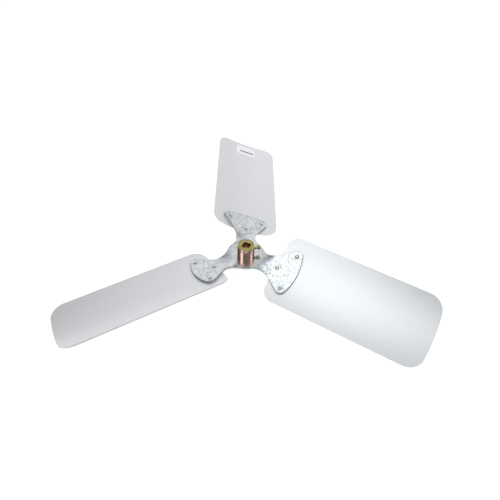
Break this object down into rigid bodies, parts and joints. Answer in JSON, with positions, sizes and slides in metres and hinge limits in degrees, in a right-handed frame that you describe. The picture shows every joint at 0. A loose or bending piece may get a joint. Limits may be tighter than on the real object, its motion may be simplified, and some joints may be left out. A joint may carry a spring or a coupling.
{
  "type": "propeller fan",
  "caption": "Propeller fan with cambered aluminium blades riveted under the pads of a stamped steel spider, and a keyed hub with a square-head set screw for a motor shaft.",
  "frame": {"origin": "on the bore's axis, at the upper face of the spider's flat centre, where the hub's shoulder seats", "axes": "+Z along the fan's axis towards the open end of the hub, +X along the first blade's arm"},
  "size_m": [0.4947, 0.5612, 0.0418],
  "materials": {
    "blade_aluminium": "mill finish, satin",
    "spider_steel": "galvanised, spangled",
    "hub_steel": "yellow zinc plated, iridescent",
    "rivet_steel": "zinc plated",
    "label_paper": "matt, with one plain dark bar"
  },
  "bodies": {
    "root": {"spider": "spider_steel", "hub": "hub_steel", "set_screw": "hub_steel", "blade_1": "blade_aluminium", "blade_2": "blade_aluminium", "blade_3": "blade_aluminium", "rivet_1_inner": "rivet_steel", "rivet_1_leading": "rivet_steel", "rivet_1_trailing": "rivet_steel", "rivet_2_inner": "rivet_steel", "rivet_2_leading": "rivet_steel", "rivet_2_trailing": "rivet_steel", "rivet_3_inner": "rivet_steel", "rivet_3_leading": "rivet_steel", "rivet_3_trailing": "rivet_steel", "label": "label_paper"}
  },
  "joints": []
}
